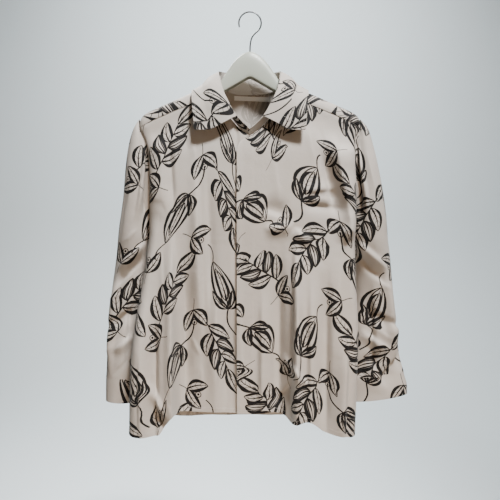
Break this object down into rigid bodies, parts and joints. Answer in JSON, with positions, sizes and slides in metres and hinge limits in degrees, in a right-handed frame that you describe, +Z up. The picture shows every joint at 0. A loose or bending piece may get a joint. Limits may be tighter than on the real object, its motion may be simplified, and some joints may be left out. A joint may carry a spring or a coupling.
{
  "type": "printed shirt on a hanger",
  "caption": "Long-sleeved printed shirt with a wide pointed collar and a hidden front closure, hanging open-hemmed on a broad moulded hanger with a wire hook.",
  "frame": {"origin": "inside top of the hanger's hook, where the rod or wall hook carries it", "axes": "+Z up, -Y towards a person who faces the shirt's front, +X to that person's right"},
  "size_m": [0.6342, 0.147, 0.8532],
  "materials": {
    "printed_cloth": "smooth drapey viscose in pale greige with a black line-drawn leaf print",
    "collar_cloth": "the same cloth, stiffened and pressed",
    "label_tape": "blank woven tape",
    "hanger_plastic": "pale cream moulded plastic, satin",
    "hook_wire": "dark drawn steel wire"
  },
  "bodies": {
    "root": {"front_left": "printed_cloth", "front_right": "printed_cloth", "back": "printed_cloth", "yoke": "printed_cloth", "sleeve_left": "printed_cloth", "sleeve_right": "printed_cloth", "cuff_left": "printed_cloth", "cuff_right": "printed_cloth", "collar_stand": "collar_cloth", "collar": "collar_cloth", "neck_label": "label_tape", "hanger": "hanger_plastic", "hanger_hook": "hook_wire"}
  },
  "joints": []
}
